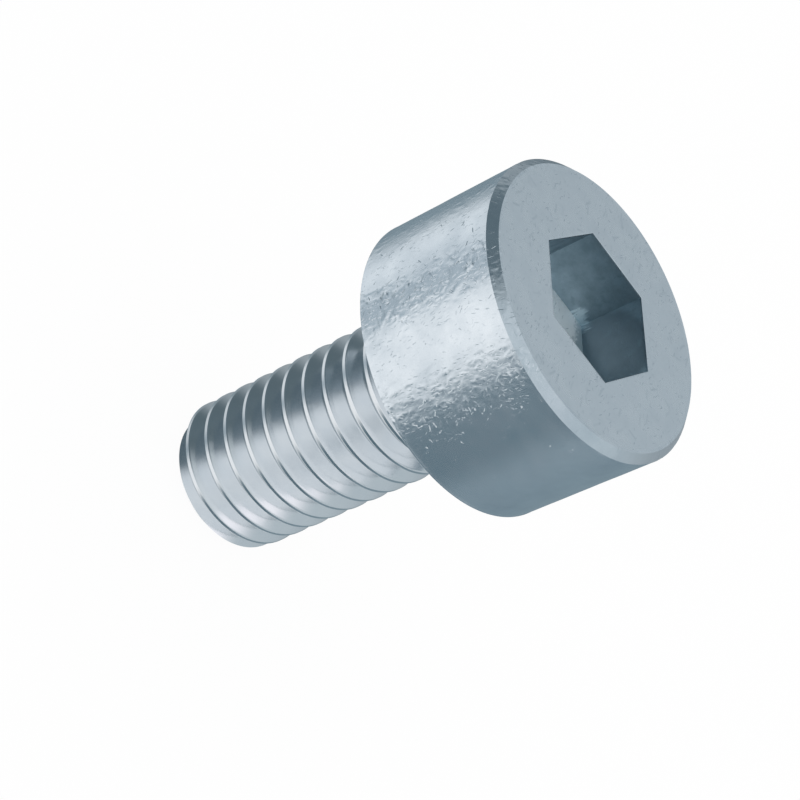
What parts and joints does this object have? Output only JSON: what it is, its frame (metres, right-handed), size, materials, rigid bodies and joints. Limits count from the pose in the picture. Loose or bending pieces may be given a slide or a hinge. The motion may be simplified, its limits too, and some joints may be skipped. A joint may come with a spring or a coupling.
{
  "type": "socket head cap screw",
  "caption": "Short metric cap screw with a cylindrical head, a hex socket and a coarse thread along the whole shank.",
  "frame": {"origin": "middle of the flat end face of the tip, on the axis", "axes": "+Z along the screw's axis from the tip to the socket, X through two corners of the socket"},
  "size_m": [0.0054, 0.0054, 0.009],
  "materials": {
    "plated_steel": "bright zinc plating with a blue tint, finely pitted on the head"
  },
  "bodies": {
    "root": {"screw": "plated_steel"}
  },
  "joints": []
}
